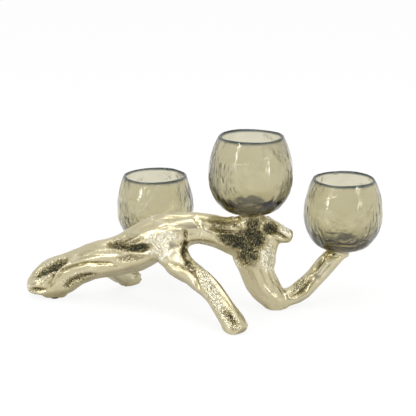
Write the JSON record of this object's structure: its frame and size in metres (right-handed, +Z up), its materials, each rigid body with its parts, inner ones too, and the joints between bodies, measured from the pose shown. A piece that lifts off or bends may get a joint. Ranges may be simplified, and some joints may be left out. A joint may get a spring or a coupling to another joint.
{
  "type": "votive candle holder",
  "caption": "Driftwood-shaped cast metal branch with limb-end feet, carrying round-bellied smoky glass cups for votive candles at staggered heights.",
  "frame": {"origin": "on the table, under the middle of the holder's outline seen from above", "axes": "+X along the branch from the low left foot to the right cup, +Y away from the viewer, +Z up"},
  "size_m": [0.413, 0.2368, 0.203],
  "materials": {
    "cast_branch": "pale champagne-gold plated casting, polished over a hammered and fluted surface",
    "smoky_glass": "transparent smoky olive-brown blown glass with dimples and a fire-polished rim",
    "pad_rubber": "matt black moulded rubber",
    "screw_steel": "zinc-plated countersunk machine screw",
    "felt": "dense dark felt"
  },
  "bodies": {
    "branch": {"felt_disc_front": "felt", "felt_disc_left": "felt", "felt_disc_rear": "felt", "felt_disc_right": "felt", "front_leg_casting": "cast_branch", "rear_bough_casting": "cast_branch", "rear_leg_casting": "cast_branch", "right_arm_casting": "cast_branch", "seat_pad_left": "pad_rubber", "seat_pad_mid": "pad_rubber", "seat_pad_right": "pad_rubber", "seat_screw_left": "screw_steel", "seat_screw_mid": "screw_steel", "seat_screw_right": "screw_steel", "shoulder_casting": "cast_branch", "trunk_casting": "cast_branch"},
    "cup_left": {"glass_cup_left": "smoky_glass"},
    "cup_mid": {"glass_cup_mid": "smoky_glass"},
    "cup_right": {"glass_cup_right": "smoky_glass"}
  },
  "joints": [
    {"name": "cup_left_lift", "type": "slide", "parent": "branch", "child": "cup_left", "axis": [0, 0, 1], "range_m": [0, 0.06]},
    {"name": "cup_mid_lift", "type": "slide", "parent": "branch", "child": "cup_mid", "axis": [0, 0, 1], "range_m": [0, 0.06]},
    {"name": "cup_right_lift", "type": "slide", "parent": "branch", "child": "cup_right", "axis": [0, 0, 1], "range_m": [0, 0.06]}
  ]
}
